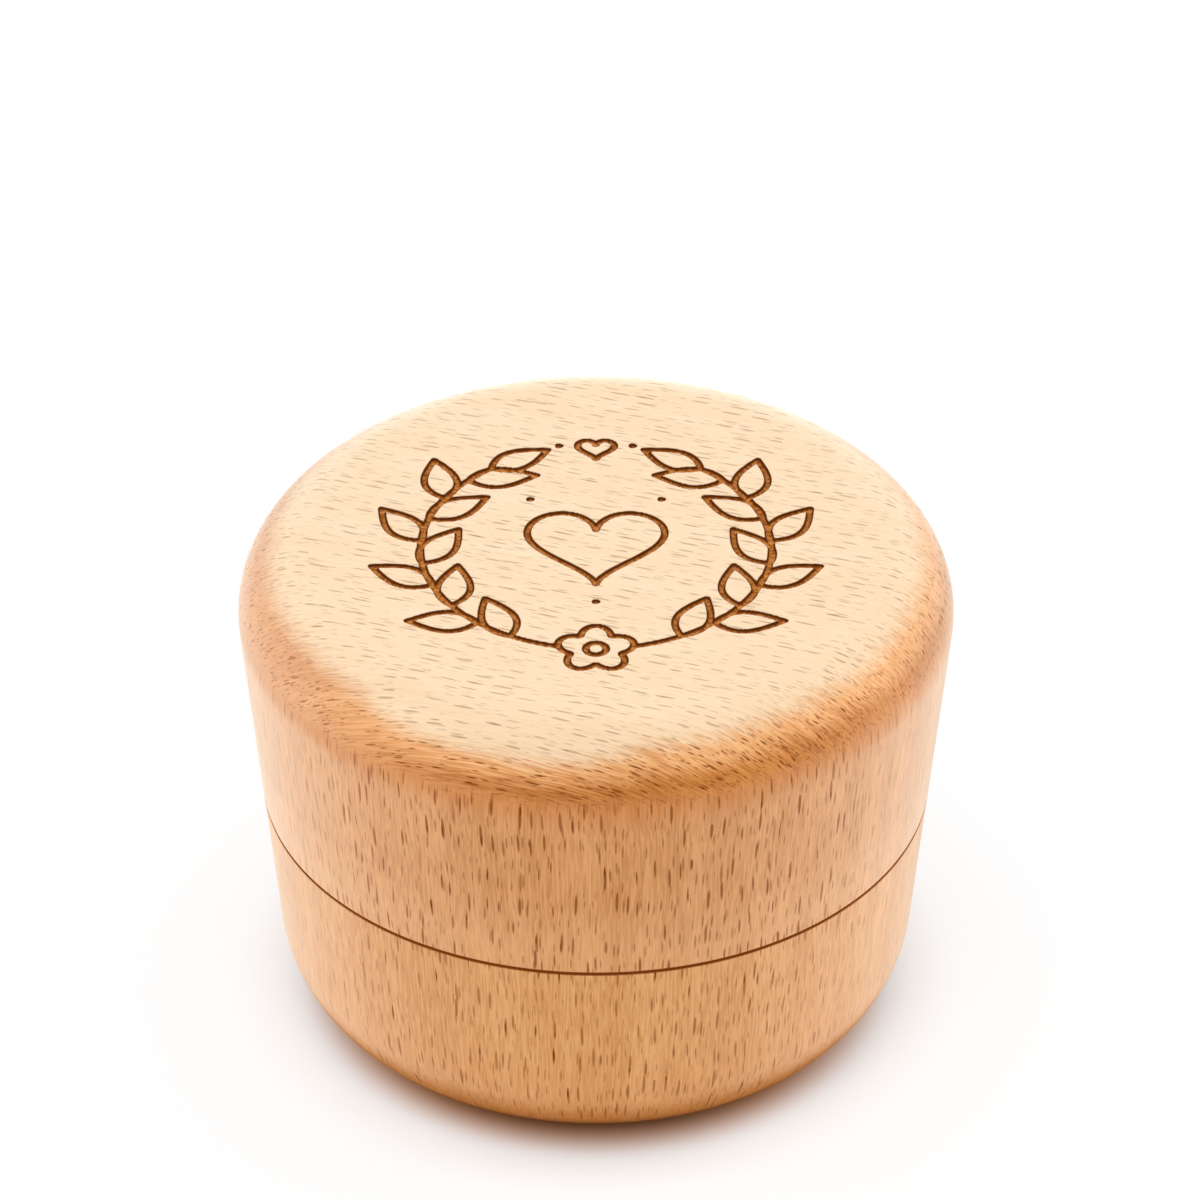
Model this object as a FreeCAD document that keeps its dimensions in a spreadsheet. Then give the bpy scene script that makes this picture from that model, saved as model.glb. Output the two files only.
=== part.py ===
import FreeCAD, Part
import Sketcher
import os

# A small round keepsake box for milk teeth, turned from beech in two pieces: a base with a thin-walled
# spigot standing on a flat shoulder, and a deep lid whose socket pushes down over the spigot until its
# seat meets the shoulder. Lengths are in millimetres, the foot stands on z = 0 and the turning axis is Z.

SIZES = [
    ("well_diameter", 39.5, "straight bore that holds the teeth"),
    ("well_round", 4.0, "radius between the well's wall and its floor"),
    ("well_bevel", 0.3, "broken edge at the mouth of the well"),
    ("floor_thickness", 4.5, "wood under the well"),
    ("foot_round", 8.3, "radius between the outer wall and the foot"),
    ("wall_draft", 5.7, "degrees by which the outer wall leans in, from the lid edge down to the foot"),
    ("joint_height", 18.1, "height of the shoulder above the foot, where base and lid meet"),
    ("joint_bevel", 0.25, "broken edge on each side of the joint, which draws the dark line round the box"),
    ("shoulder_width", 2.1, "flat ledge round the spigot, which the lid sits on"),
    ("spigot_wall", 1.7, "thickness of the spigot round the well"),
    ("spigot_height", 6.5, "rise of the spigot above the shoulder"),
    ("spigot_round", 0.8, "soft outer edge of the spigot's rim, which leads the lid on"),
    ("spigot_cove", 0.6, "radius in the corner between spigot and shoulder"),
    ("socket_clearance", 0.1, "gap between spigot and socket, on the radius"),
    ("socket_round", 2.0, "radius between the socket's wall and its ceiling"),
    ("mouth_clearance", 0.2, "room between the socket's bevelled mouth and the spigot's cove"),
    ("head_room", 6.0, "air between the spigot's rim and the lid's ceiling"),
    ("crown_thickness", 6.9, "wood over the lid's hollow"),
    ("lid_round", 5.0, "radius of the lid's top edge"),
]

doc = FreeCAD.newDocument("tooth_box")
sheet = doc.addObject("Spreadsheet::Sheet", "sizes")
for row, (alias, number, note) in enumerate(SIZES, start=1):
    sheet.set(f"A{row}", note)
    sheet.set(f"B{row}", str(number))
    sheet.setAlias(f"B{row}", alias)
doc.recompute()

# Radii, heights and edge sizes that several corners share, as expressions on the sheet. The spigot's
# round keeps to half its wall and its cove to a third of the shoulder, so a thinner wall still builds.
ON_AXIS = "0"
ON_FLOOR = "0"
WELL_RADIUS = "sizes.well_diameter / 2"
SPIGOT_RADIUS = f"{WELL_RADIUS} + sizes.spigot_wall"
SOCKET_RADIUS = f"{SPIGOT_RADIUS} + sizes.socket_clearance"
JOINT_RADIUS = f"{SPIGOT_RADIUS} + sizes.shoulder_width"
RIM_HEIGHT = "sizes.joint_height + sizes.spigot_height"
SOCKET_DEPTH = "sizes.spigot_height + sizes.head_room"
LID_HEIGHT = f"{SOCKET_DEPTH} + sizes.crown_thickness"
FOOT_RADIUS = f"{JOINT_RADIUS} - sizes.joint_height * tan(sizes.wall_draft)"
CROWN_RADIUS = f"{JOINT_RADIUS} + ({LID_HEIGHT}) * tan(sizes.wall_draft)"
RIM_ROUND = "min(sizes.spigot_round; sizes.spigot_wall / 2)"
COVE = "min(sizes.spigot_cove; sizes.shoulder_width / 3)"
MOUTH_BEVEL = f"{COVE} + sizes.mouth_clearance"

# How the sketcher numbers a sketch's two axes, the lower first, and the two ends of a line.
V_AXIS, H_AXIS = range(-2, 0)
START, END = range(1, 3)


def number_of(expression):
    """The number that an expression on the sheet stands for."""
    return float(sheet.evalExpression(expression))


def bind(sketch, kind, *place, size):
    """A dimension in the sketch, driven by an expression on the sheet."""
    row = sketch.addConstraint(Sketcher.Constraint(kind, *place, number_of(size)))
    sketch.setExpression(f"Constraints[{row}]", size)


def finish_corner(sketch, side, finish, size):
    """Rounds or bevels the corner where a side starts, and returns the point left to mark the corner."""
    arc = sketch.GeometryCount
    mark = arc + 1
    sketch.fillet(side, START, number_of(size), True, True, finish == "bevel")
    bind(sketch, "Radius", arc, size=size)
    return mark


def place_corner(sketch, corner, kind, axis, size):
    """Holds one coordinate of a corner: on an axis of the sketch, or at a size measured from its origin."""
    if size in (ON_AXIS, ON_FLOOR):
        sketch.addConstraint(Sketcher.Constraint("PointOnObject", corner, START, axis))
    else:
        bind(sketch, kind, H_AXIS, START, corner, START, size=size)


def half_section(body, corners):
    """A closed sketch in the body's XZ plane through corners, in order round the section.

    A corner is a radius and a height and, where it isn't sharp, "round" or "bevel" and a size. A side
    whose ends share a radius is held vertical, and one whose ends share a height horizontal, so each
    size is given once and the sketch is fully constrained.
    """
    sketch = body.newObject("Sketcher::SketchObject", f"{body.Name}_section")
    plane = next(item for item in body.Origin.OriginFeatures if item.Role == "XZ_Plane")
    sketch.AttachmentSupport = [(plane, "")]
    sketch.MapMode = "FlatFace"
    points = [FreeCAD.Vector(number_of(radius), number_of(height), 0) for radius, height, *_ in corners]
    for side, point in enumerate(points):
        sketch.addGeometry(Part.LineSegment(point, points[(side + 1) % len(points)]))
    for side, (radius, height, *_) in enumerate(corners):
        side_before = (side - 1) % len(corners)
        radius_before, height_before, *_ = corners[side_before]
        sketch.addConstraint(Sketcher.Constraint("Coincident", side_before, END, side, START))
        if radius == radius_before:
            sketch.addConstraint(Sketcher.Constraint("Vertical", side_before))
        if height == height_before:
            sketch.addConstraint(Sketcher.Constraint("Horizontal", side_before))
    for side, (radius, height, *finish) in enumerate(corners):
        radius_before, height_before, *_ = corners[side - 1]
        corner = finish_corner(sketch, side, *finish) if finish else side
        if radius != radius_before:
            place_corner(sketch, corner, "DistanceX", V_AXIS, radius)
        if height != height_before:
            place_corner(sketch, corner, "DistanceY", H_AXIS, height)
    return sketch


def turned_piece(name, corners):
    """A body that a half section sweeps in one full turn about the axis, as on a lathe."""
    body = doc.addObject("PartDesign::Body", name)
    body.Label = name
    section = half_section(body, corners)
    turning = body.newObject("PartDesign::Revolution", f"{name}_turning")
    turning.Profile = section
    turning.ReferenceAxis = (section, ["V_Axis"])
    turning.Angle = 360
    doc.recompute()
    return body


# The base: foot, leaning outer wall, shoulder, spigot and the straight-sided well inside it.
base = turned_piece("base", [
    (ON_AXIS, ON_FLOOR),
    (FOOT_RADIUS, ON_FLOOR, "round", "sizes.foot_round"),
    (JOINT_RADIUS, "sizes.joint_height", "bevel", "sizes.joint_bevel"),
    (SPIGOT_RADIUS, "sizes.joint_height", "round", COVE),
    (SPIGOT_RADIUS, RIM_HEIGHT, "round", RIM_ROUND),
    (WELL_RADIUS, RIM_HEIGHT, "bevel", "sizes.well_bevel"),
    (WELL_RADIUS, "sizes.floor_thickness", "round", "sizes.well_round"),
    (ON_AXIS, "sizes.floor_thickness"),
])

# The lid: socket for the spigot, seat, leaning outer wall with a broad round at the top. Its own origin
# is on the seat, so it is placed on the base's shoulder.
lid = turned_piece("lid", [
    (ON_AXIS, SOCKET_DEPTH),
    (SOCKET_RADIUS, SOCKET_DEPTH, "round", "sizes.socket_round"),
    (SOCKET_RADIUS, ON_FLOOR, "bevel", MOUTH_BEVEL),
    (JOINT_RADIUS, ON_FLOOR, "bevel", "sizes.joint_bevel"),
    (CROWN_RADIUS, LID_HEIGHT, "round", "sizes.lid_round"),
    (ON_AXIS, LID_HEIGHT),
])
lid.setExpression("Placement.Base.z", "sizes.joint_height")
doc.recompute()

for item in doc.Objects:
    if "Invalid" in item.State or "Error" in item.State:
        raise RuntimeError(f"{item.Name} did not build: {item.State}")
    if item.isDerivedFrom("Sketcher::SketchObject") and not item.FullyConstrained:
        raise RuntimeError(f"{item.Name} is not fully constrained")
for piece in (base, lid):
    if piece.Shape.isNull() or not piece.Shape.isValid() or len(piece.Shape.Solids) != 1:
        raise RuntimeError(f"{piece.Label} is not one valid solid")

os.makedirs("parts", exist_ok=True)
for piece in (base, lid):
    piece.Shape.exportStep(f"parts/{piece.Label}.step")
    box = piece.Shape.optimalBoundingBox(False, False)
    print(f"{piece.Label}: {box.XLength:.2f} mm across, {box.ZLength:.2f} mm tall")
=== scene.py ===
# %% [markdown]
# # A turned beech box for milk teeth
# The real thing is two turnings of pale beech. The base has a thin spigot that stands on a shoulder,
# and the lid pushes down over it. The lid's flat top carries a design burnt in with fine brown lines.
# This file rebuilds both turnings as numpy surfaces in the frame of the CAD model, gives them a beech
# finish made of nodes, and lights them like a small object on a white table.

# %% Load the frame
import bpy
import math
import numpy as np
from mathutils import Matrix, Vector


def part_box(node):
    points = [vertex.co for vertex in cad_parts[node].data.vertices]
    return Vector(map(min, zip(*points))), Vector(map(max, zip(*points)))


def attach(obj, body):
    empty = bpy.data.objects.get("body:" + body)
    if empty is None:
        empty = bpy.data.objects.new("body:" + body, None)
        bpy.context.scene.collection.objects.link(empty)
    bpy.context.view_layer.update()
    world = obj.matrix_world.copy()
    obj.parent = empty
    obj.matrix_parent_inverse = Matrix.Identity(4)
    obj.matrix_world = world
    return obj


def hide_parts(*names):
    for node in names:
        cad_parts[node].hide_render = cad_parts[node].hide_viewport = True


MM = 0.001
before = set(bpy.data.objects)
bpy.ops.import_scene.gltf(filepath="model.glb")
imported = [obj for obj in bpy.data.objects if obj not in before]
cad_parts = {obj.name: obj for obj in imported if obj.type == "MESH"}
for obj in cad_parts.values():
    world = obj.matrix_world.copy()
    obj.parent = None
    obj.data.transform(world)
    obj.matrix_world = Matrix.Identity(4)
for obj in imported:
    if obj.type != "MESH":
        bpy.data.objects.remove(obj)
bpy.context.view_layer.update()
base_low, base_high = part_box("base")
lid_low, lid_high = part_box("lid")
print(f"base {base_high.z / MM:.1f} mm tall, lid from {lid_low.z / MM:.1f} to {lid_high.z / MM:.1f} mm")

# %% [markdown]
# ## The camera
# The box is seen from a little above, so that its top shows as an ellipse and its wall stays in view.
# A long lens from far away keeps the ellipse even, as in product pictures. The aim is above the middle
# of the box, which leaves room in the picture for the lid when it is lifted. The lens is worked out
# from the share of the picture's width that the lid should fill.

# %% Place the camera
VIEW_ANGLE = math.radians(35)
VIEW_DISTANCE = 0.6
AIM_HEIGHT = 33 * MM
LID_SHARE = 0.6
SENSOR_WIDTH = 36

camera_data = bpy.data.cameras.new("camera")
camera_data.sensor_fit = "HORIZONTAL"
camera_data.sensor_width = SENSOR_WIDTH
camera_data.lens = SENSOR_WIDTH * VIEW_DISTANCE * LID_SHARE / (lid_high.x - lid_low.x)
camera_data.clip_start = 0.01
camera = bpy.data.objects.new("camera", camera_data)
camera_back = VIEW_DISTANCE * math.cos(VIEW_ANGLE)
camera_rise = VIEW_DISTANCE * math.sin(VIEW_ANGLE)
camera.location = (0, -camera_back, AIM_HEIGHT + camera_rise)
camera.rotation_euler = (math.pi / 2 - VIEW_ANGLE, 0, 0)
bpy.context.scene.collection.objects.link(camera)
bpy.context.scene.camera = camera
print(f"lens {camera_data.lens:.0f} mm at {VIEW_DISTANCE} m")

# %% [markdown]
# ## Sections for the lathe
# A turned piece is one outline carried round an axis, so most of the shape is in that outline. It could
# be drawn as a curve and spun with a Screw modifier. Here the outline is a list of corners, each sharp,
# rounded or bevelled, and a function turns the list into points. Close pairs of rows at each break keep
# the smooth shading from bleeding round the corners, as a modeller's support loops do.

# %% Outline of a turned piece
ROUND_STEP = math.radians(4)
SUPPORT_GAP = 0.03 * MM
ROW_STEP = 1.2 * MM


def finish_corner(before, corner, after, kind, size):
    """The points that take a corner's place: a tangent arc of radius size, or the two ends of a bevel.

    The arc's ends lie size / tan(half the corner's angle) from the corner, and points between them
    are turned from one end's spoke to the other's.
    """
    to_before = (before - corner) / np.linalg.norm(before - corner)
    to_after = (after - corner) / np.linalg.norm(after - corner)
    half_angle = math.acos(np.clip(to_before @ to_after, -1, 1)) / 2
    ends = corner + size / math.tan(half_angle) * np.array([to_before, to_after])
    if kind == "bevel":
        return ends
    middle = to_before + to_after
    centre = corner + middle / np.linalg.norm(middle) * size / math.sin(half_angle)
    first_spoke, last_spoke = ends - centre
    swept = math.pi - 2 * half_angle
    turn = np.linspace(0, swept, math.ceil(swept / ROUND_STEP) + 1)[:, None]
    return centre + (np.sin(swept - turn) * first_spoke + np.sin(turn) * last_spoke) / math.sin(swept)


def straight_run(start, end):
    """Points between two ends of a straight side: a support row near each end and even rows between."""
    length = np.linalg.norm(end - start)
    if length < 4 * SUPPORT_GAP:
        return np.empty((0, 2))
    steps = np.linspace(SUPPORT_GAP, length - SUPPORT_GAP, math.ceil(length / ROW_STEP) + 1)
    return start + (end - start) * steps[:, None] / length


def section(corners):
    """The outline through corners (radius, height, finish, size), in order with the wood on its left."""
    places = np.array([corner[:2] for corner in corners], float)
    rows = [places[:1]]
    for index in range(1, len(corners) - 1):
        finish = corners[index][2:]
        here = places[index - 1 : index + 2]
        points = finish_corner(*here, *finish) if finish else here[1:2]
        rows += [straight_run(rows[-1][-1], points[0]), points]
    rows += [straight_run(rows[-1][-1], places[-1]), places[-1:]]
    return np.concatenate(rows)


print("a quarter round has", math.ceil(math.pi / 2 / ROUND_STEP) + 1, "rows")

# %% [markdown]
# ## Meshes from arrays
# Blender builds a mesh quickest from whole arrays. One function fills a mesh with foreach_set, from
# patches of triangles or quads. Others carry a section round the axis and make the faces between its
# rings. Each patch also says where its points lie on a flat texture sheet, which an export can bake
# the finish to. A turned surface is laid flat like a peeled-open cup: each point keeps its direction
# from the axis, at its distance along the section from the middle, so there is no seam to show.

# %% Mesh from arrays
def mesh_object(name, points, *patches):
    """An object at the origin with smooth faces; a patch is its faces and all points' sheet places."""
    corners = np.concatenate([faces.ravel() for faces, _ in patches]).astype(np.int32)
    sheet = np.concatenate([places[faces.ravel()] for faces, places in patches])
    sides = np.concatenate([np.full(len(faces), faces.shape[1]) for faces, _ in patches])
    mesh = bpy.data.meshes.new(name)
    mesh.vertices.add(len(points))
    mesh.vertices.foreach_set("co", points.astype(np.float32).ravel())
    mesh.loops.add(len(corners))
    mesh.loops.foreach_set("vertex_index", corners)
    mesh.polygons.add(len(sides))
    mesh.polygons.foreach_set("loop_start", (np.cumsum(sides) - sides).astype(np.int32))
    mesh.polygons.foreach_set("use_smooth", np.ones(len(sides), bool))
    mesh.uv_layers.new(name="OFBake").data.foreach_set("uv", sheet.astype(np.float32).ravel())
    mesh.update(calc_edges=True)
    mesh.validate()
    made = bpy.data.objects.new(name, mesh)
    bpy.context.scene.collection.objects.link(made)
    print(f"{name}: {len(points)} points, {int((sides - 2).sum())} triangles")
    return made


# %% Rings of a turning
def carry_round(outline, angles):
    """A (radius, height) outline carried round the axis: x = r cos a, y = r sin a, z = height."""
    radius, height = outline[:, :1], outline[:, 1:]
    across = [radius * np.cos(angles), radius * np.sin(angles), height + 0 * angles]
    return np.stack(across, axis=-1)


def quads_between(rows, columns, first=0):
    """Quads that join each ring of points to the next; the last column meets the first."""
    near = first + columns * np.arange(rows - 1)[:, None] + np.arange(columns)
    beside = np.roll(near, -1, axis=1)
    return np.stack([near, beside, beside + columns, near + columns], -1).reshape(-1, 4)


def fan(centre, ring):
    """Triangles from one centre point to a ring of points, facing the side from which it turns left."""
    return np.stack([np.full(len(ring), centre), ring, np.roll(ring, -1)], -1)


print(len(quads_between(2, 8)), "quads join two rings of 8 points")

# %% Turnings laid flat
SHEET_MARGIN = 0.6 * MM


def along(outline):
    """The distance along an outline from its first point to each of its points."""
    return np.concatenate([[0], np.cumsum(np.linalg.norm(np.diff(outline, axis=0), axis=1))])


def laid_flat(points, reach):
    """Points laid flat: each keeps its direction from the axis, at the given distance from the middle."""
    flat = points[:, :2]
    radius = np.linalg.norm(flat, axis=1, keepdims=True)
    return flat / np.maximum(radius, 1e-9) * reach[:, None]


def on_sheet(outside, outside_reach, inside, inside_reach):
    """Two flat discs set corner to corner on a square sheet, with the sheet's side as the unit."""
    outer, inner = outside_reach + SHEET_MARGIN, inside_reach + SHEET_MARGIN
    side = (outer + inner) * (1 + math.sqrt(0.5))
    return (outside + outer) / side, 1 + (inside - inner) / side


print(f"the two discs on a sheet are {2 * SHEET_MARGIN / MM:.1f} mm apart")

# %% [markdown]
# ## The base
# The base is one turning: a flat foot with a broad round, an outer wall that leans out a little, a
# shoulder, and the spigot round a straight-sided well. It replaces its CAD node at the same sizes. The
# edge at the joint is only just broken here, because the line round the real box is very thin.

# %% Outline of the base
JOINT_HEIGHT = lid_low.z
RIM_HEIGHT = base_high.z
WALL_LEAN = math.tan(math.radians(5.7))
WELL_RADIUS = 19.75 * MM
SPIGOT_WALL = 1.7 * MM
SPIGOT_RADIUS = WELL_RADIUS + SPIGOT_WALL
SHOULDER_WIDTH = 2.1 * MM
JOINT_RADIUS = SPIGOT_RADIUS + SHOULDER_WIDTH
FOOT_RADIUS = JOINT_RADIUS - JOINT_HEIGHT * WALL_LEAN
FOOT_ROUND = 8.3 * MM
FLOOR_HEIGHT = 4.5 * MM
JOINT_EDGE = 0.1 * MM
SPIGOT_COVE = 0.6 * MM
SPIGOT_ROUND = 0.8 * MM
WELL_EDGE = 0.3 * MM
WELL_ROUND = 4 * MM

base_outline = section([
    (0, 0),
    (FOOT_RADIUS, 0, "round", FOOT_ROUND),
    (JOINT_RADIUS, JOINT_HEIGHT, "bevel", JOINT_EDGE),
    (SPIGOT_RADIUS, JOINT_HEIGHT, "round", SPIGOT_COVE),
    (SPIGOT_RADIUS, RIM_HEIGHT, "round", SPIGOT_ROUND),
    (WELL_RADIUS, RIM_HEIGHT, "bevel", WELL_EDGE),
    (WELL_RADIUS, FLOOR_HEIGHT, "round", WELL_ROUND),
    (0, FLOOR_HEIGHT),
])
print(len(base_outline), "rows, foot", round(FOOT_RADIUS / MM, 2), "mm in radius before its round")

# %% Turn the base
BASE_COLUMNS = 256

base_angles = np.arange(BASE_COLUMNS) * 2 * math.pi / BASE_COLUMNS
base_rings = carry_round(base_outline[1:-1], base_angles)
foot_pole = base_rings.shape[0] * BASE_COLUMNS
floor_pole = foot_pole + 1
base_points = np.concatenate([base_rings.reshape(-1, 3), [[0, 0, 0], [0, 0, FLOOR_HEIGHT]]])
base_quads = quads_between(len(base_rings), BASE_COLUMNS)
first_ring = np.arange(BASE_COLUMNS)
last_ring = foot_pole - BASE_COLUMNS + first_ring
print(len(base_rings), "rings of", BASE_COLUMNS, "points")

# %% Lay the base flat and build it
WELL_SCALE = 0.7

base_along = along(base_outline)
base_reach = np.concatenate([np.repeat(base_along[1:-1], BASE_COLUMNS), base_along[[0, -1]]])
rim_row = int(base_outline[1:-1, 1].argmax())
rim_reach, base_length = base_along[rim_row + 1], base_along[-1]
base_outside, base_inside = on_sheet(
    laid_flat(base_points, base_reach),
    rim_reach,
    laid_flat(base_points, WELL_SCALE * (base_length - base_reach)),
    WELL_SCALE * (base_length - rim_reach),
)
rim_face = rim_row * BASE_COLUMNS
base = mesh_object(
    "beech_base",
    base_points,
    (base_quads[:rim_face], base_outside),
    (base_quads[rim_face:], base_inside),
    (fan(foot_pole, first_ring[::-1]), base_outside),
    (fan(floor_pole, last_ring), base_inside),
)
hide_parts("base")
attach(base, "base")

# %% [markdown]
# ## The design on the lid
# The burnt design is line work: two leafy sprigs that meet in a small flower, a heart inside them, a small
# one at their opening and a few dots. Each line is a row of points worked out by a formula. It could be
# traced as curves and cut with a boolean, but a distance field is simpler: for every point of the lid's top
# it gives the distance to the nearest line, and both the groove's depth and the burnt colour follow from
# that one number.

# %% Kinds of line, in millimetres
LINE_STEPS = 48


def circle_arc(centre, radius, start, end, steps=LINE_STEPS):
    """Points of an arc, from one angle to another, in degrees counterclockwise."""
    angle = np.radians(np.linspace(start, end, steps))
    return np.array(centre) + radius * np.stack([np.cos(angle), np.sin(angle)], -1)


def leaf(foot, heading, length, width):
    """A closed leaf with a slim tip: its half width is width / 2 times sin(pi t^0.8) along its length."""
    t = np.linspace(0, 1, LINE_STEPS // 2)
    half = width / 2 * np.sin(math.pi * t**0.8)
    there = np.stack([length * t, half], -1)
    back = (there * (1, -1))[::-1]
    c, s = math.cos(heading), math.sin(heading)
    return np.array(foot) + np.concatenate([there, back]) @ np.array([[c, s], [-s, c]])


def heart(centre, width):
    """A closed heart: x = 16 sin^3 t, y = 13 cos t - 5 cos 2t - 2 cos 3t - cos 4t, 32 units wide."""
    t = np.linspace(0, 2 * math.pi, 2 * LINE_STEPS)
    x = 16 * np.sin(t) ** 3
    y = 13 * np.cos(t) - 5 * np.cos(2 * t) - 2 * np.cos(3 * t) - np.cos(4 * t)
    return np.array(centre) + width / 32 * np.stack([x, y], -1)


def flower(centre, radius):
    """Five petals, r = radius (0.66 + 0.34 |cos(2.5 a)|) with a from the top, and a ring inside them."""
    angle = np.linspace(0, 2 * math.pi, 2 * LINE_STEPS)
    reach = radius * (0.66 + 0.34 * np.abs(np.cos(2.5 * angle)))
    outline = reach[:, None] * np.stack([np.sin(angle), np.cos(angle)], -1)
    return [np.array(centre) + outline, circle_arc(centre, 0.26 * radius, 0, 360)]


print("a circle has", LINE_STEPS, "points")

# %% The design, in millimetres
STEM_RADIUS = 12.2
STEM_FOOT = 12
STEM_TIP = 143
LEAF_COUNT = 9
LEAF_LEAN = 40
LEAF_SIZE = (4.8, 2.3)
TIP_LEAF_SIZE = (4.6, 2.2)
DOT_RADIUS = 0.05
DOTS = [(-2.6, 12.6), (2.6, 12.6), (-4.6, 5.9), (4.6, 5.9), (0.0, -6.6)]


def sprig(side):
    """A stem on a circle, from the flower up to the opening at the top, with leaves on both sides of it.

    An angle on the stem is in degrees from the flower. A leaf leans to one side of the stem's heading
    there and the next one to the other, and one more ends the stem.
    """
    lines = [circle_arc((0, 0), STEM_RADIUS, STEM_FOOT - 90, STEM_TIP - 90)]
    for index, angle in enumerate(np.linspace(STEM_FOOT + 17, STEM_TIP - 10, LEAF_COUNT)):
        lean = LEAF_LEAN if index % 2 else -LEAF_LEAN
        node = circle_arc((0, 0), STEM_RADIUS, angle - 90, angle - 90, 1)[0]
        lines.append(leaf(node, math.radians(angle - lean), *LEAF_SIZE))
    lines.append(leaf(lines[0][-1], math.radians(STEM_TIP + 6), *TIP_LEAF_SIZE))
    return [line * (side, 1) for line in lines]


design = [
    *sprig(1),
    *sprig(-1),
    *flower((0, -STEM_RADIUS), 2.7),
    heart((0, 0.6), 9.6),
    heart((0, 12.3), 2.6),
    *[circle_arc(dot, DOT_RADIUS, 0, 360, 4) for dot in DOTS],
]
design_reach = max(float(np.linalg.norm(line, axis=1).max()) for line in design)
print(len(design), "lines, out to", round(design_reach, 1), "mm")

# %% Distance to the nearest line
FAR = 2.0


def distance_to_lines(places, lines):
    """The distance in mm from each place to the nearest line, no more than FAR.

    A line's stretch from a to b is nearest at a + t (b - a), with t cut to the range 0 to 1. Only the
    places inside a line's own box, widened by FAR, are measured against it.
    """
    nearest = np.full(len(places), FAR)
    for line in lines:
        close = ((places > line.min(0) - FAR) & (places < line.max(0) + FAR)).all(1).nonzero()[0]
        start, step = line[:-1], np.diff(line, axis=0)
        away = places[close][:, None] - start
        t = np.clip((away * step).sum(-1) / np.maximum((step**2).sum(-1), 1e-12), 0, 1)
        gap = np.linalg.norm(away - t[..., None] * step, axis=-1).min(1)
        nearest[close] = np.minimum(nearest[close], gap)
    return nearest


flower_gap = distance_to_lines(np.array([[0, -STEM_RADIUS]]), design)[0]
print(f"the middle of the flower is {flower_gap:.2f} mm from a line")

# %% [markdown]
# ## The lid
# The lid's top needs a fine, even mesh for its grooves, and the rest of it needs only rings. So the
# middle of the top is a square grid squeezed into a disc, and a turned surface is stitched to its rim.
# The squeeze keeps all its cells nearly square, which a grid of rings and spokes would not.

# %% Engraved top
FIELD_RADIUS = 16.8 * MM
FIELD_COUNT = 265
LINE_HALF_WIDTH = 0.27
GROOVE_WALL = 0.18
GROOVE_DEPTH = 0.28 * MM
TOP_HEIGHT = lid_high.z

across = np.linspace(-1, 1, FIELD_COUNT)
u, v = np.meshgrid(across, across, indexing="xy")
squeezed = np.stack([u * np.sqrt(1 - v**2 / 2), v * np.sqrt(1 - u**2 / 2)], -1)
field_places = FIELD_RADIUS * squeezed.reshape(-1, 2)
burn = distance_to_lines(field_places / MM, design)
wall_part = np.clip((LINE_HALF_WIDTH - burn) / GROOVE_WALL, 0, 1)
groove = GROOVE_DEPTH * wall_part**2 * (3 - 2 * wall_part)
field_points = np.column_stack([field_places, TOP_HEIGHT - groove])
grid = np.arange(FIELD_COUNT**2).reshape(FIELD_COUNT, FIELD_COUNT)
field_quads = np.stack([grid[:-1, :-1], grid[:-1, 1:], grid[1:, 1:], grid[1:, :-1]], -1).reshape(-1, 4)
print(f"{(burn < LINE_HALF_WIDTH).mean():.0%} of the field is burnt")

# %% Outline of the lid
SOCKET_GAP = 0.1 * MM
SOCKET_RADIUS = SPIGOT_RADIUS + SOCKET_GAP
SOCKET_ROUND = 2 * MM
MOUTH_EDGE = 0.8 * MM
CEILING_HEIGHT = 30.6 * MM
CROWN_RADIUS = JOINT_RADIUS + (TOP_HEIGHT - JOINT_HEIGHT) * WALL_LEAN
CROWN_ROUND = 5 * MM
STITCH_GAP = 0.5 * MM
STITCH_RADIUS = FIELD_RADIUS + STITCH_GAP

lid_outline = section([
    (0, CEILING_HEIGHT),
    (SOCKET_RADIUS, CEILING_HEIGHT, "round", SOCKET_ROUND),
    (SOCKET_RADIUS, JOINT_HEIGHT, "bevel", MOUTH_EDGE),
    (JOINT_RADIUS, JOINT_HEIGHT, "bevel", JOINT_EDGE),
    (CROWN_RADIUS, TOP_HEIGHT, "round", CROWN_ROUND),
    (STITCH_RADIUS, TOP_HEIGHT),
])
print(len(lid_outline), "rows, widest", round(lid_outline[:, 0].max() / MM, 2), "mm in radius")

# %% Stitches
RIM_SHARE = 4


def stitch(outer, fine):
    """Triangles from a ring to a finer one inside it, which has RIM_SHARE points to each of the ring's."""
    beside = np.roll(outer, -1)
    near = [np.roll(fine, -step)[::RIM_SHARE] for step in range(RIM_SHARE + 1)]
    half = RIM_SHARE // 2
    parts = [(outer, beside, near[half])]
    parts += [(outer, near[step + 1], near[step]) for step in range(half)]
    parts += [(beside, near[step + 1], near[step]) for step in range(half, RIM_SHARE)]
    return np.concatenate([np.stack(part, -1) for part in parts])


rim = np.concatenate([grid[0, :-1], grid[:-1, -1], grid[-1, :0:-1], grid[:0:-1, 0]])
print(len(rim), "points round the field,", RIM_SHARE, "to each point of a ring")

# %% Turn the lid
lid_angles = np.arctan2(field_places[rim, 1], field_places[rim, 0])[::RIM_SHARE]
lid_columns = len(lid_angles)
lid_rings = carry_round(lid_outline[1:], lid_angles)
ring_start = len(field_points)
ceiling_ring = ring_start + np.arange(lid_columns)
ceiling_pole = ring_start + lid_rings.shape[0] * lid_columns
stitch_ring = ceiling_pole - lid_columns + np.arange(lid_columns)
lid_points = np.concatenate([field_points, lid_rings.reshape(-1, 3), [[0, 0, CEILING_HEIGHT]]])
lid_quads = quads_between(len(lid_rings), lid_columns, ring_start)
print(len(lid_rings), "rings of", lid_columns, "points")

# %% Lay the lid flat and build it
HOLLOW_SCALE = 0.4

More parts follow.
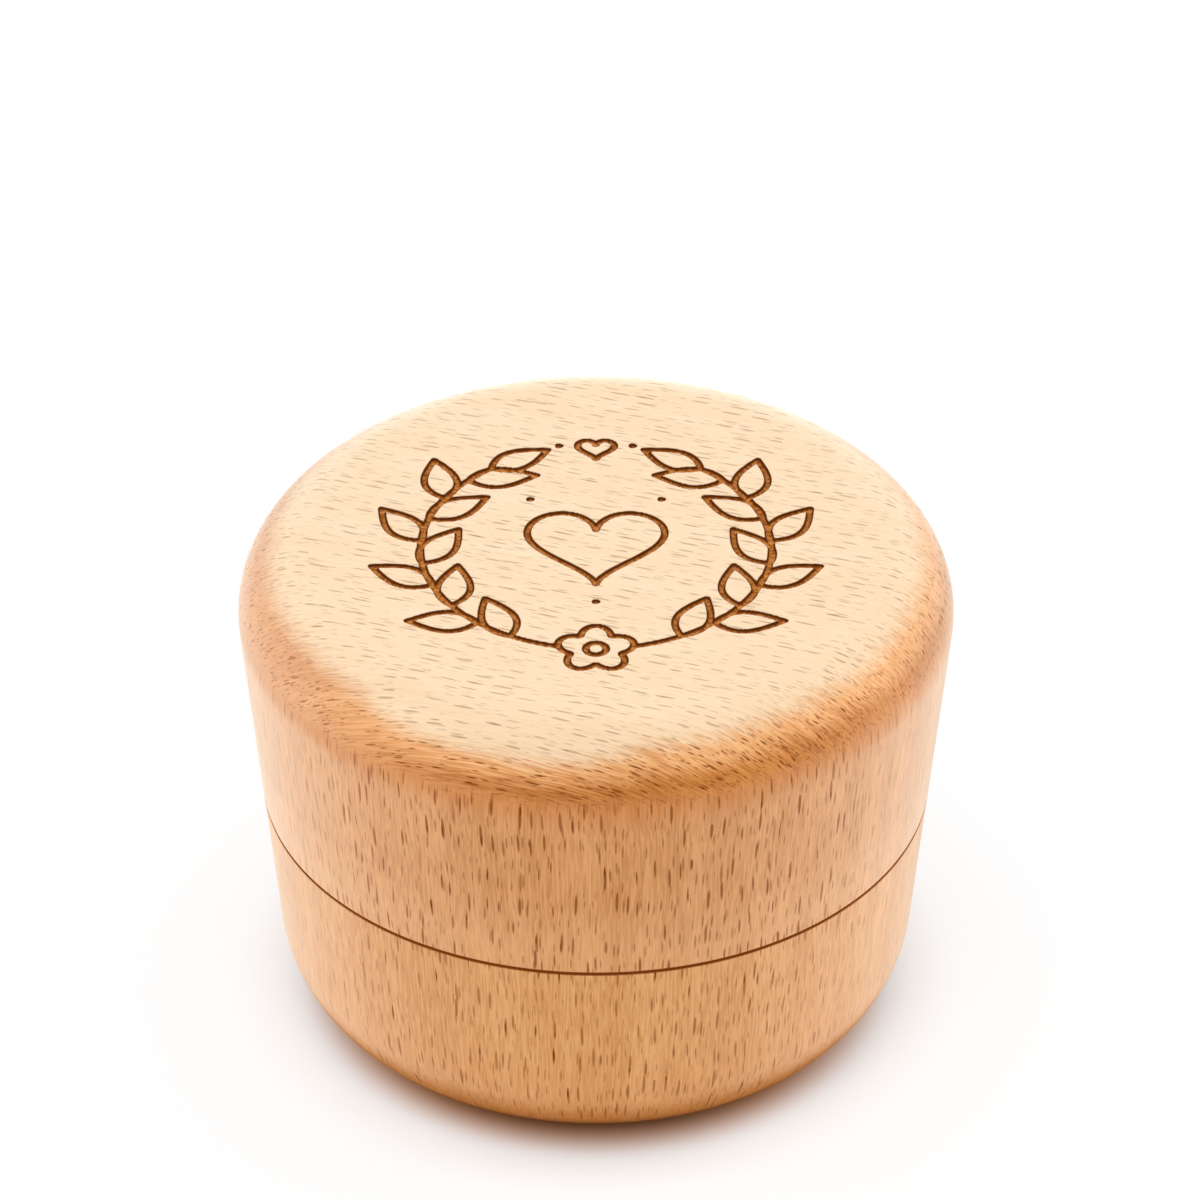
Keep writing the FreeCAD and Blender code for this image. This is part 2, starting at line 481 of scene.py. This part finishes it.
lid_along = along(lid_outline)
seat_row = int(np.nonzero(lid_outline[1:, 1] <= JOINT_HEIGHT + SUPPORT_GAP / 2)[0].max())
seat_reach, lid_length = lid_along[seat_row + 1], lid_along[-1]
ring_reach = np.repeat(lid_along[1:], lid_columns)
top_reach = np.linalg.norm(field_places, axis=1)
outside_reach = np.concatenate([top_reach, STITCH_RADIUS + lid_length - ring_reach, [0]])
inside_reach = HOLLOW_SCALE * np.concatenate([top_reach, ring_reach, [0]])
flat_lid = laid_flat(lid_points, outside_reach)
lid_outside, lid_inside = on_sheet(
    flat_lid,
    STITCH_RADIUS + lid_length - seat_reach,
    laid_flat(lid_points, inside_reach),
    HOLLOW_SCALE * seat_reach,
)
seat_face = seat_row * lid_columns
lid = mesh_object(
    "beech_lid",
    lid_points,
    (field_quads, lid_outside),
    (lid_quads[seat_face:], lid_outside),
    (stitch(stitch_ring, rim), lid_outside),
    (lid_quads[:seat_face], lid_inside),
    (fan(ceiling_pole, ceiling_ring[::-1]), lid_inside),
)

# %% What the finish reads from the lid
burn_everywhere = np.full(len(lid_points), FAR, np.float32)
burn_everywhere[:ring_start] = burn
lid.data.attributes.new("burn", "FLOAT", "POINT").data.foreach_set("value", burn_everywhere)
flat_place = np.column_stack([flat_lid, np.zeros(len(lid_points))])
flat_numbers = flat_place.astype(np.float32).ravel()
lid.data.attributes.new("flat_place", "FLOAT_VECTOR", "POINT").data.foreach_set("vector", flat_numbers)
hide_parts("lid")
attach(lid, "lid")
print(f"laid flat, the lid's outside reaches {outside_reach.max() / MM:.1f} mm from its middle")

# %% [markdown]
# ## Shader arithmetic
# A wood finish needs many small sums, and nodes wired by hand soon hide them. A small class wraps one
# output socket, so that a sum is written as a Python expression and each operator adds a Math node.

# %% Wires
class Wire:
    """An output socket of a node tree. Arithmetic on it adds Math nodes, and node() adds any other node."""

    def __init__(self, tree, socket=None):
        self.tree = tree
        self.socket = socket

    def node(self, kind, settings=(), out=0, inputs=()):
        """Adds a node, sets its settings first and then its sockets, and returns one of its outputs."""
        made = self.tree.nodes.new("ShaderNode" + kind)
        for name, value in dict(settings).items():
            setattr(made, name, value)
        for name, value in dict(inputs).items():
            if isinstance(value, Wire):
                self.tree.links.new(value.socket, made.inputs[name])
            else:
                made.inputs[name].default_value = value
        return Wire(self.tree, made.outputs[out]) if made.outputs else made

    def other(self, out):
        """Another output of the node that this wire comes from."""
        return Wire(self.tree, self.socket.node.outputs[out])

    def maths(self, operation, *terms):
        """A Math node that starts from this wire."""
        return self.node("Math", {"operation": operation}, inputs=dict(enumerate((self, *terms))))

    def __add__(self, term):
        return self.maths("ADD", term)

    def __sub__(self, term):
        return self.maths("SUBTRACT", term)

    def __mul__(self, term):
        return self.maths("MULTIPLY", term)

    def __rsub__(self, term):
        return self.node("Math", {"operation": "SUBTRACT"}, inputs={0: term, 1: self})

    def __rtruediv__(self, term):
        return self.node("Math", {"operation": "DIVIDE"}, inputs={0: term, 1: self})

    __radd__ = __add__
    __rmul__ = __mul__

    def rise(self, low, high):
        """0 below low and 1 above high, with a smooth ramp between; high may be the lower number."""
        ends = {"Value": self, "From Min": low, "From Max": high}
        return self.node("MapRange", {"interpolation_type": "SMOOTHSTEP"}, inputs=ends)

    def vector(self, operation, *terms, out="Vector"):
        """A Vector Math node that starts from this wire."""
        return self.node("VectorMath", {"operation": operation}, out, dict(enumerate((self, *terms))))

    def mix(self, colour, share):
        """This colour, with a share of another one."""
        return self.node("Mix", {"data_type": "RGBA"}, out=2, inputs={0: share, 6: self, 7: colour})


def rgb(red, green, blue):
    """A colour written as 0 to 255 on the screen, as the linear values that shaders take."""
    part = np.array([red, green, blue]) / 255
    return (*np.where(part <= 0.04045, part / 12.92, ((part + 0.055) / 1.055) ** 2.4), 1)


def empty_tree(block):
    """The node tree of a new material or world, without its first nodes, as a wire to start from."""
    block.use_nodes = True
    block.node_tree.nodes.clear()
    return Wire(block.node_tree)


print("mid grey is", round(float(rgb(128, 128, 128)[0]), 3), "to a shader")

# %% [markdown]
# ## The run of the fibres
# Beech is known by its flecks: short dark strokes along the fibres, where the cut goes across the wood's
# rays. So a pattern has to know where a place lies along the fibres and across them. On the walls the
# fibres stand upright. On the lid's top they lie at a slant and run on over the rounded edge, so that
# pattern reads the places laid flat that the mesh stores. Each of these is only a change of coordinates:
# the first one runs along the fibres, and the rest across.

# %% Fibre coordinates
LID_SLANT = math.radians(-18)
WALL_RAY_DEPTH = 2.0
CORE_RADIUS = 16 * MM


def axis_places(place):
    """The height of a place and its distance from the axis."""
    height = place.node("SeparateXYZ", out="Z", inputs={"Vector": place})
    return height, place.vector("MULTIPLY", (1, 1, 0)).vector("LENGTH", out="Value")


def lying_fibres(place):
    """Places of the lid laid flat, turned so that the first coordinate follows the slant of the fibres."""
    flat = place.node("Attribute", {"attribute_name": "flat_place"}, out="Vector")
    turn = {"Vector": flat, "Angle": -LID_SLANT}
    return flat.node("VectorRotate", {"rotation_type": "Z_AXIS"}, inputs=turn)


def standing_fibres(place):
    """Height, then the place round the axis: x and y are moved towards a circle of the joint's radius.

    With R the joint's radius and k = 1 / WALL_RAY_DEPTH, a point at radius r goes to R + k (r - R), so
    x and y are multiplied by k + (1 - k) R / r. Inside the core r is taken as the core's radius, because
    the pattern would run together in a star at the axis.
    """
    part = place.node("SeparateXYZ", inputs={"Vector": place})
    _, radius = axis_places(place)
    k = 1 / WALL_RAY_DEPTH
    pull = k + (1 - k) * JOINT_RADIUS / radius.maths("MAXIMUM", CORE_RADIUS)
    moved = {"X": part.other("Z"), "Y": part * pull, "Z": part.other("Y") * pull}
    return part.node("CombineXYZ", inputs=moved)


def unrolled_wall(place):
    """The angle from the front round the axis, and the wall unrolled: height, then that angle times R.

    R is the joint's radius. The unrolled wall ends at the back, where its two edges meet.
    """
    part = place.node("SeparateXYZ", inputs={"Vector": place})
    turn = part.maths("ARCTAN2", -1 * part.other("Y"))
    return turn, part.node("CombineXYZ", inputs={"X": part.other("Z"), "Y": JOINT_RADIUS * turn})


print(f"fibres on the top lie at {math.degrees(LID_SLANT):.0f} degrees")

# %% [markdown]
# ## Streaks and bands
# Between its flecks the wood is never plain. Noise that is stretched along the fibres gives fine streaks,
# and the same noise at a larger scale gives slow bands of growth. Fibres are never quite straight, so a
# little more noise bends the coordinates first.

# %% Streaks
STRAY = 0.45 * MM
STRAY_LENGTH = 6 * MM


def wander(fibre):
    """Fibre coordinates that stray from straight by up to half of STRAY, over some millimetres."""
    inputs = {"Vector": fibre, "Scale": 1 / STRAY_LENGTH, "Detail": 1.0}
    stray = fibre.node("TexNoise", {"noise_dimensions": "3D"}, out="Color", inputs=inputs)
    return stray.vector("MULTIPLY_ADD", (STRAY,) * 3, fibre)


def cells(fibre, long, wide, shift):
    """Fibre coordinates divided into cells, after a shift that sets one layer apart from another."""
    inputs = {"Vector": fibre, "Location": (shift,) * 3, "Scale": (long, wide, wide)}
    return fibre.node("Mapping", {"vector_type": "TEXTURE"}, inputs=inputs)


def streaks(fibre, long, wide, shift):
    """Noise stretched along the fibres, about 0.5."""
    spot = cells(fibre, long, wide, shift)
    inputs = {"Vector": spot, "Scale": 1.0, "Detail": 2.0}
    return spot.node("TexNoise", {"noise_dimensions": "3D"}, inputs=inputs)


def grain(bent):
    """The depth of the wood's tone, from 0 to 1, along fibre coordinates: fine streaks and broad bands."""
    fine = streaks(bent, 3.6 * MM, 0.14 * MM, 0.031).rise(0.33, 0.67)
    bands = streaks(bent, 24 * MM, 2.4 * MM, 0.047).rise(0.3, 0.7)
    return 0.65 * fine + 0.35 * bands


def tone(depth, pale, deep):
    """A colour between the pale and the deep tone of the wood."""
    return depth.node("Mix", {"data_type": "RGBA"}, out=2, inputs={0: depth, 6: pale, 7: deep})


print(f"fibres stray by up to {STRAY / 2 / MM:.2f} mm")

# %% [markdown]
# ## Flecks
# A Voronoi pattern gives each of its cells a random point and a random colour. On the walls and on the
# flat top a fleck is a thin dash about the cell's point, and the colour decides how long and how strong it
# is. The walls show them dark at the front and the back, where the cut goes across the rays, and faint at
# the sides, where it runs along them. On the lid's rounded edge the cut slopes through the rays, and the
# flecks crowd into strokes: there each cell is stretched along the fibres and filled near its middle.

# %% Flecks
WALL_STRONG = {"pitch": (2.8 * MM, 0.9 * MM), "size": (1.9 * MM, 0.2 * MM), "share": 0.85}
WALL_FAINT = {"pitch": (1.8 * MM, 0.55 * MM), "size": (1.2 * MM, 0.15 * MM), "share": 0.85}
TOP_LONG = {"pitch": (2.1 * MM, 0.75 * MM), "size": (1.5 * MM, 0.18 * MM), "share": 0.85}
TOP_SHORT = {"pitch": (1.4 * MM, 0.5 * MM), "size": (0.9 * MM, 0.13 * MM), "share": 0.8}


def dashes(fibre, shift, pitch, size, share):
    """1 inside thin dashes on a flat pattern and 0 between them, with a dash in a share of the cells.

    A dash lies about its cell's own point. The step from that point is divided by half of the dash's
    length and width, so that a length of 1 is the dash's edge.
    """
    spot = cells(fibre, *pitch, shift)
    inputs = {"Vector": spot, "Scale": 1.0, "Randomness": 0.95}
    point = spot.node("TexVoronoi", {"voronoi_dimensions": "2D"}, "Position", inputs)
    chance = point.node("SeparateColor", inputs={"Color": point.other("Color")})
    steps = (2 * pitch[0] / size[0], 2 * pitch[1] / size[1], 0)
    gap = spot.vector("SUBTRACT", point).vector("MULTIPLY", steps).vector("LENGTH", out="Value")
    reach = 0.7 + 0.6 * chance.other("Green")
    return (reach - gap).rise(0.0, 0.5) * chance.rise(1 - share, 1.4 - share)


def strokes(fibre, long, wide, shift, share):
    """1 inside crowded strokes and 0 between them, with a stroke in a share of the cells."""
    spot = cells(fibre, long, wide, shift)
    gap = spot.node("TexVoronoi", {"voronoi_dimensions": "3D"}, inputs={"Vector": spot, "Scale": 1.0})
    chance = gap.node("SeparateColor", inputs={"Color": gap.other("Color")})
    reach = 0.2 + 0.18 * chance.other("Green")
    return (reach - gap).rise(0.0, 0.14) * chance.rise(1 - share, 1.15 - share)


def wall_flecks(place, shift):
    """Strong and faint flecks of an upright wall, which fade from the front and back towards the sides.

    Their strength follows cos(a)^2, with a the angle from the front, and never falls below a quarter.
    """
    turn, unrolled = unrolled_wall(place)
    facing = turn.maths("COSINE")
    across_rays = 0.25 + 0.75 * (facing * facing).rise(0.2, 0.75)
    bent = wander(unrolled)
    strong = dashes(bent, shift, **WALL_STRONG)
    faint = dashes(bent, 2 * shift, **WALL_FAINT)
    return across_rays * (0.6 * strong + 0.38 * faint)


print(f"one strong fleck to {WALL_STRONG['pitch'][0] * WALL_STRONG['pitch'][1] / MM**2:.1f} mm2 of wall")

# %% [markdown]
# ## Sanded wood
# Both pieces have the same finish: fine-sanded, with no varnish. Sanded fibres catch light that grazes
# them, so the wood looks paler towards its edges. Sheen does that, and it is gloss of the shader, so it
# stays right from all sides. Flecks are slightly sunk, as the soft rays sand away first, and so they have
# none of that sheen: a second shader without it is mixed in where they are. The same shader draws the
# dark line at the joint, a painted shadow of the gap between lid and base, mostly on the lid's edge, so
# that the base's shoulder stays light when it is open.

# %% Sanded finish
SHEEN_TINT = rgb(255, 247, 232)
FLECK_SINK = 0.05 * MM
LINE_FOOT = (-0.11 * MM, -0.07 * MM)
LINE_HEAD = (0.27 * MM, 0.21 * MM)


def smooth(wire, colour):
    """A Principled shader for wood without loose fibres."""
    inputs = {"Base Color": colour, "Roughness": 0.7, "Specular IOR Level": 0.0}
    return wire.node("BsdfPrincipled", inputs=inputs)


def sanded(colour, fleck_and_shadow_colour, marks, sheen):
    """A shader for sanded wood with flecks and the painted joint shadow, which are also a slight bump."""
    bump = colour.node("Bump", inputs={"Strength": 0.2, "Distance": FLECK_SINK, "Height": 1 - marks})
    inputs = {
        "Base Color": colour,
        "Roughness": 0.5,
        "Specular IOR Level": 0.1,
        "Normal": bump,
        "Sheen Weight": sheen,
        "Sheen Roughness": 0.48,
        "Sheen Tint": SHEEN_TINT,
    }
    fibrous = colour.node("BsdfPrincipled", inputs=inputs)
    return colour.node("MixShader", inputs={0: marks, 1: fibrous, 2: smooth(colour, fleck_and_shadow_colour)})


def joint_shadow(height, radius):
    """1 on the broken edges at the joint, where the painted shadow of the gap between lid and base goes,
    and 0 elsewhere.
    """
    away = height - JOINT_HEIGHT
    beside = away.rise(*LINE_FOOT) * away.rise(*LINE_HEAD)
    return beside * radius.rise(JOINT_RADIUS - 0.3 * MM, JOINT_RADIUS - 0.2 * MM)


print(f"the joint line goes from {LINE_FOOT[0] / MM:.2f} to {LINE_HEAD[0] / MM:.2f} mm beside the joint")

# %% [markdown]
# ## Finish of the base
# The base is a little more golden than the lid, with upright flecks, most of them at the front and back.
# Its rim is end grain that the sanding leaves pale. The inside of the well and the round of the foot are
# left smooth from the tool rather than sanded, so these have no sheen. Their colours are painted shade:
# the well is painted a deep orange brown, the shade of the hollow, and the foot darkens to where it stands,
# a painted contact shadow. One mask for each of these places is enough, since a place on a turned piece
# is known by its height and radius.

# %% Places on the base
base_material = bpy.data.materials.new("base_beech")
base_place = empty_tree(base_material).node("TexCoord", out="Object")
base_height, base_radius = axis_places(base_place)
in_well = base_radius.rise(WELL_RADIUS + 0.35 * MM, WELL_RADIUS + 0.15 * MM)
on_rim = base_height.rise(RIM_HEIGHT - 0.5 * MM, RIM_HEIGHT - 0.2 * MM)
over_joint = base_height - JOINT_HEIGHT
on_shoulder = over_joint.rise(-0.05 * MM, -0.02 * MM) * over_joint.rise(0.2 * MM, 0.05 * MM)
low_wall_shade = base_height.rise(12 * MM, 4 * MM)
on_foot = base_height.rise(7.6 * MM, 3.6 * MM)
# Painted shade: the foot darkens towards where it stands, most in its last few millimetres, as a contact
# shadow.
foot_shade = base_height.rise(6.6 * MM, 3.6 * MM) * (1 - in_well)
contact_shadow = base_height.rise(3.9 * MM, 1.3 * MM)
print(len(base_material.node_tree.nodes), "nodes tell the places on the base apart")

# %% Base finish
# The flecks' colour is also the colour of the painted shadow at the joint.
BASE_FLECK_AND_SHADOW = rgb(126, 58, 8)
BASE_SHEEN = 0.85

base_depth = grain(wander(standing_fibres(base_place)))
base_marks = wall_flecks(base_place, 0.011) * (1 - on_rim) * (1 - in_well) * (1 - on_shoulder)
# The joint line mixed in here is a painted shadow of the gap between lid and base.
base_marks = base_marks.maths("MAXIMUM", 0.8 * joint_shadow(base_height, base_radius))
# Painted shade: the well's deeper, more orange colour stands for shade in the hollow.
shaded_well_colour = tone(base_depth, rgb(216, 138, 70), rgb(172, 94, 34))
base_colour = tone(base_depth, rgb(227, 167, 106), rgb(199, 131, 64))
# Painted shade: the lower wall is darker and more golden.
base_colour = base_colour.mix(rgb(214, 142, 76), 0.4 * low_wall_shade)
base_colour = base_colour.mix(shaded_well_colour, 0.8 * in_well)
base_colour = base_colour.mix(rgb(250, 226, 196), 0.8 * on_rim)
# The colour of the sheenless parts carries painted shade: a contact shadow at the foot and the shade of the
# well.
foot_and_well_shaded_colour = base_colour.mix(BASE_FLECK_AND_SHADOW, base_marks)
foot_and_well_shaded_colour = foot_and_well_shaded_colour.mix(rgb(160, 98, 50), 0.5 * foot_shade)
foot_and_well_shaded_colour = foot_and_well_shaded_colour.mix(rgb(70, 30, 8), 0.9 * contact_shadow)
base_wood = sanded(base_colour, BASE_FLECK_AND_SHADOW, base_marks, BASE_SHEEN)
# Where this mask is, the sheenless shader with its painted shade takes over.
sheenless_and_shaded = on_foot.maths("MAXIMUM", in_well)
base_parts = {0: sheenless_and_shaded, 1: base_wood, 2: smooth(base_place, foot_and_well_shaded_colour)}
base_shader = base_place.node("MixShader", inputs=base_parts)
base_place.node("OutputMaterial", inputs={"Surface": base_shader})
base.data.materials.append(base_material)
print(len(base_material.node_tree.nodes), "nodes in", base_material.name)

# %% [markdown]
# ## Finish of the lid
# The lid's wall goes on from the base, and its flat top is paler, with thin flecks that lie at a slant. The
# rounded edge between them is the deepest in colour. It looks as if the fibres dip a little towards the
# front right, so that the cut opens them on that side, where the edge is brown with dark strokes, and
# closes them on the other, where it is a calm tan. On the front right side the low part of the edge is
# deepened to a darker brown, which is in part the wood's figure and in part painted shade. Where the edge
# runs along the fibres its colour begins lower, which is a painted highlight, and where they run out of it
# the strokes are short.

# %% Wall of the lid
lid_material = bpy.data.materials.new("lid_beech")
lid_place = empty_tree(lid_material).node("TexCoord", out="Object")
lid_height, lid_radius = axis_places(lid_place)
outside = lid_radius.rise(SOCKET_RADIUS + 0.15 * MM, SOCKET_RADIUS + 0.45 * MM)
high_wall = lid_height.rise(30.5 * MM, 33 * MM)
low_lid = lid_height.rise(25 * MM, 20 * MM)
wall_depth = grain(wander(standing_fibres(lid_place)))
wall_marks = 1.2 * wall_flecks(lid_place, 0.017) * outside
# The joint line mixed in here is a painted shadow of the gap between lid and base.
wall_marks = wall_marks.maths("MAXIMUM", joint_shadow(lid_height, lid_radius))
wall_colour = tone(wall_depth, rgb(221, 157, 98), rgb(190, 121, 55))
wall_colour = wall_colour.mix(rgb(196, 116, 50), 0.4 * high_wall)
wall_colour = wall_colour.mix(rgb(236, 180, 124), 0.25 * low_lid)
print(len(lid_material.node_tree.nodes), "nodes for the lid's wall")

# %% Fibres of the top and its rounded edge
OPEN_HEADING = math.radians(-50)
SHORTENING = 2.5

top_fibre = lying_fibres(lid_place)
outward = top_fibre.vector("NORMALIZE")
along_fibres = outward.node("SeparateXYZ", out="X", inputs={"Vector": outward})
across_fibres = along_fibres.other("Y")
across_share = across_fibres * across_fibres
open_way = (math.cos(OPEN_HEADING - LID_SLANT), math.sin(OPEN_HEADING - LID_SLANT), 0)
opened = outward.vector("DOT_PRODUCT", open_way, out="Value").rise(-0.2, 0.75)
shut = 1 - opened
run_out = SHORTENING * (TOP_HEIGHT - lid_height) * along_fibres
shortened = top_fibre.vector("ADD", run_out.node("CombineXYZ", inputs={"X": run_out}))
top_bent = wander(shortened)
top_depth = grain(top_bent)
print(f"the cut opens the fibres most at {math.degrees(OPEN_HEADING):.0f} degrees")

# %% Rounded edge
EDGE_DROP = 0.8 * MM
EDGE_SWAY = 0.5 * MM

edge_figure = (0.65 + 0.35 * opened) * (0.7 + 0.3 * across_share)
edge_depth = 0.5 + edge_figure * (top_depth - 0.5)
# Painted highlight: where the edge runs along the fibres, its brown begins lower and leaves a paler band.
edge_drop = EDGE_DROP * across_share.rise(0.75, 1.0)
edge_height = lid_height + edge_drop - EDGE_SWAY * (edge_depth - 0.5)
on_edge = edge_height.rise(TOP_HEIGHT - 0.2 * MM, TOP_HEIGHT - 1.5 * MM)
# In part painted shade: the low part of the edge towards the front right is deepened to brown.
low_edge_figure_and_shade = opened * edge_height.rise(TOP_HEIGHT - 1.2 * MM, TOP_HEIGHT - 2.9 * MM)
long_strokes = strokes(top_bent, 2.7 * MM, 0.26 * MM, 0.011, 0.75)
short_strokes = strokes(top_bent, 1.6 * MM, 0.17 * MM, 0.023, 0.95)
edge_marks = edge_figure * (0.86 * long_strokes + 0.84 * short_strokes)
shut_colour = tone(edge_depth, rgb(226, 167, 116), rgb(190, 126, 80))
high_colour = tone(edge_depth, rgb(244, 187, 128), rgb(212, 139, 76)).mix(shut_colour, shut * shut)
low_figure_and_shade_colour = tone(edge_depth, rgb(214, 138, 62), rgb(160, 88, 18))
print(len(lid_material.node_tree.nodes), "nodes with the rounded edge")

# %% Flat top, and the wood as a whole
# The flecks' colour is also the colour of the painted shadow at the joint.
LID_FLECK_AND_SHADOW = rgb(122, 56, 8)
LID_SHEEN = 1.0

flat_marks = 0.4 * dashes(top_bent, 0.011, **TOP_LONG) + 0.24 * dashes(top_bent, 0.023, **TOP_SHORT)
top_marks = on_edge * edge_marks + (1 - on_edge) * flat_marks
flat_colour = tone(top_depth, rgb(242, 213, 179), rgb(235, 202, 161))
top_colour = flat_colour.mix(high_colour, on_edge).mix(low_figure_and_shade_colour, low_edge_figure_and_shade)
uneven_height = lid_height + 0.3 * MM * wall_depth
on_top = uneven_height.rise(TOP_HEIGHT - 4.6 * MM, TOP_HEIGHT - 3 * MM)
lid_marks = wall_marks * (1 - on_top) + top_marks * on_top
lid_wood = sanded(wall_colour.mix(top_colour, on_top), LID_FLECK_AND_SHADOW, lid_marks, LID_SHEEN)
print(len(lid_material.node_tree.nodes), "nodes with the flat top")

# %% [markdown]
# ## Burnt lines
# The lines of the design have their own shader: charred at their edges, and lighter and mottled on the
# floor of the groove, where the wood burns unevenly. The distance stored on the mesh says which is where,
# so the colour and the carved groove can't drift apart.

# %% Burnt lines
burn_gap = lid_place.node("Attribute", {"attribute_name": "burn"}, out="Fac")
burnt = burn_gap.rise(LINE_HALF_WIDTH + 0.04, LINE_HALF_WIDTH - 0.03)
charred = burn_gap.rise(LINE_HALF_WIDTH - 0.19, LINE_HALF_WIDTH - 0.07)
mottle = streaks(top_fibre, 0.3 * MM, 0.22 * MM, 0.003).rise(0.35, 0.65)
burnt_colour = tone(mottle, rgb(216, 142, 74), rgb(158, 88, 32)).mix(rgb(88, 40, 8), charred)
lid_parts = {0: burnt, 1: lid_wood, 2: smooth(lid_place, burnt_colour)}
lid_shader = lid_place.node("MixShader", inputs=lid_parts)
lid_place.node("OutputMaterial", inputs={"Surface": lid_shader})
lid.data.materials.append(lid_material)
print(len(lid_material.node_tree.nodes), "nodes in", lid_material.name)

# %% [markdown]
# ## A white table
# The floor is a plain pale disc that takes the box's shadow. Away from the box it turns into even white,
# as in a product picture, through a mix that only the camera and reflections see. The light that the
# floor throws back on the box stays real. Close to the foot the table is painted a warm tone, a painted
# reflection of the light that goes to and fro between the wood and the table.

# %% Disc of the table
FLOOR_RADIUS = 3.0
FLOOR_COLUMNS = 64

floor_angles = np.arange(FLOOR_COLUMNS) * 2 * math.pi / FLOOR_COLUMNS
floor_ring = carry_round(np.array([[FLOOR_RADIUS, 0.0]]), floor_angles).reshape(-1, 3)
floor_points = np.concatenate([floor_ring, [[0, 0, 0]]])
floor_faces = fan(FLOOR_COLUMNS, np.arange(FLOOR_COLUMNS))
floor = mesh_object("floor", floor_points, (floor_faces, floor_points[:, :2] / (2 * FLOOR_RADIUS)))

# %% White of the table
def seen_directly(wire):
    """1 for rays from the camera, and for reflected and refracted ones, and 0 for other light."""
    ray = wire.node("LightPath", out="Is Camera Ray")
    bounced = ray.other("Is Glossy Ray").maths("MAXIMUM", ray.other("Is Transmission Ray"))
    return ray.maths("MAXIMUM", bounced)


floor_material = bpy.data.materials.new("white_table")
table = empty_tree(floor_material).node("TexCoord", out="Object")
from_foot = table.vector("LENGTH", out="Value")
away = 0.8 * from_foot.rise(16 * MM, 28 * MM) + 0.2 * from_foot.rise(22 * MM, 42 * MM)
# Painted warm bounce light: the table's colour and its white turn warm close to the foot.
painted_bounce = from_foot.rise(21.5 * MM, 17 * MM)
table_colour = tone(painted_bounce, rgb(248, 246, 244), rgb(228, 140, 40))
matt = table.node("BsdfDiffuse", inputs={"Color": table_colour})
glow = tone(painted_bounce, rgb(255, 255, 255), rgb(255, 228, 210))
white = table.node("Emission", inputs={"Color": glow, "Strength": 1.0})
shade = table.node("MixShader", inputs={0: away * seen_directly(table), 1: matt, 2: white})
table.node("OutputMaterial", inputs={"Surface": shade})
floor.data.materials.append(floor_material)
print(len(floor_material.node_tree.nodes), "nodes in", floor_material.name)

# %% [markdown]
# ## Light
# Product pictures of this kind are made in a white tent: soft light from everywhere, most from above and
# in front, and sides that glow because the white walls stand close. One large lamp over the viewer, one on
# each side and an even pale world do that, at a level where a colour renders about as it is written.

# %% Lamps
LAMP_AIM = np.array([0, 0, 20 * MM])
SOFTBOX_SIZE = 0.5
LAMPS = {
    "overhead": ((-0.08, -0.42, 0.65), 2.6),
    "left_wall": ((-0.6, 0.2, 0.25), 2.5),
    "right_wall": ((0.6, 0.2, 0.25), 2.9),
}


def softbox(name, place, power):
    """A square area lamp that looks at the middle of the box."""
    lamp = bpy.data.lights.new(name, "AREA")
    lamp.size = SOFTBOX_SIZE
    lamp.energy = power
    made = bpy.data.objects.new(name, lamp)
    made.location = place
    x, y, z = LAMP_AIM - place
    made.rotation_euler = (math.atan2(math.hypot(x, y), -z), 0, math.atan2(y, x) - math.pi / 2)
    bpy.context.scene.collection.objects.link(made)
    print(f"{name}: {power} W")


for lamp_name, (lamp_place, lamp_power) in LAMPS.items():
    softbox(lamp_name, lamp_place, lamp_power)

# %% White tent
TENT_LIGHT = 0.48

world = bpy.data.worlds.new("white_tent")
tent = empty_tree(world)
strength = TENT_LIGHT + (1 - TENT_LIGHT) * seen_directly(tent)
sky = tent.node("Background", inputs={"Color": (1, 1, 1, 1), "Strength": strength})
tent.node("OutputWorld", inputs={"Surface": sky})
bpy.context.scene.world = world
bpy.context.scene.view_settings.view_transform = "Standard"
print(f"the tent lights the box at {TENT_LIGHT} of full white")
